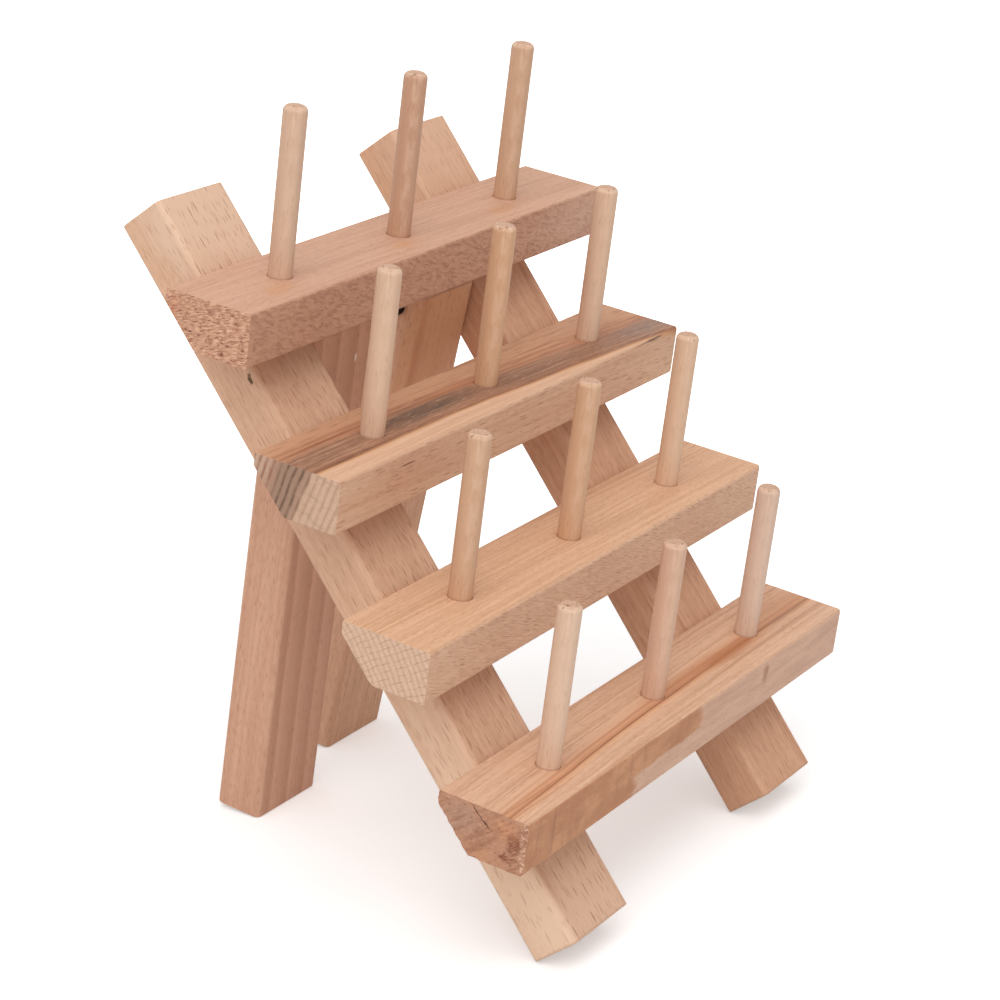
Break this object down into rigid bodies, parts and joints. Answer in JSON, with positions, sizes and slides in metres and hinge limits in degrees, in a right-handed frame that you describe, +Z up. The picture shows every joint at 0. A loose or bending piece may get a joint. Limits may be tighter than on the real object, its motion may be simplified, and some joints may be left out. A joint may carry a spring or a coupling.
{
  "type": "thread spool rack",
  "caption": "Free-standing beech rack: leaning rails carry stepped shelf bars with upright pegs for thread spools, propped by rear legs that fold flat between the rails.",
  "frame": {"origin": "on the floor under the middle of the rack's box", "axes": "+Z up, +X to the rack's right seen from the front, +Y to the back, towards the rear legs"},
  "size_m": [0.2216, 0.1796, 0.2588],
  "materials": {
    "rail_wood": "smooth bare beech with short dark flecks along the grain",
    "shelf_top_wood": "bare beech, pinkish brown, rough end grain",
    "shelf_upper_wood": "bare beech with a grey-brown heart stripe",
    "shelf_lower_wood": "bare beech, warm tan",
    "shelf_bottom_wood": "bare beech, reddish brown figure",
    "peg_wood": "smooth bare dowel with fine grain",
    "leg_wood": "bare beech with straight grain",
    "pivot_steel": "black oxide, dull",
    "screw_steel": "bright zinc, dull"
  },
  "bodies": {
    "rack": {"rail_left": "rail_wood", "rail_right": "rail_wood", "shelf_top": "shelf_top_wood", "shelf_upper": "shelf_upper_wood", "shelf_lower": "shelf_lower_wood", "shelf_bottom": "shelf_bottom_wood", "peg_top_left": "peg_wood", "peg_top_middle": "peg_wood", "peg_top_right": "peg_wood", "peg_upper_left": "peg_wood", "peg_upper_middle": "peg_wood", "peg_upper_right": "peg_wood", "peg_lower_left": "peg_wood", "peg_lower_middle": "peg_wood", "peg_lower_right": "peg_wood", "peg_bottom_left": "peg_wood", "peg_bottom_middle": "peg_wood", "peg_bottom_right": "peg_wood", "pivot_screw_left": "pivot_steel", "pivot_screw_right": "pivot_steel", "shelf_screws": "screw_steel"},
    "left_leg": {"leg_left": "leg_wood"},
    "right_leg": {"leg_right": "leg_wood"}
  },
  "joints": [
    {"name": "left_leg_fold", "type": "hinge", "parent": "rack", "child": "left_leg", "pos_m": [-0.0323, 0.04516, 0.17363], "axis": [-1, 0, 0], "range_deg": [0, 44.3]},
    {"name": "right_leg_fold", "type": "hinge", "parent": "rack", "child": "right_leg", "pos_m": [0.0307, 0.04516, 0.17363], "axis": [-1, 0, 0], "range_deg": [0, 48.9]}
  ]
}
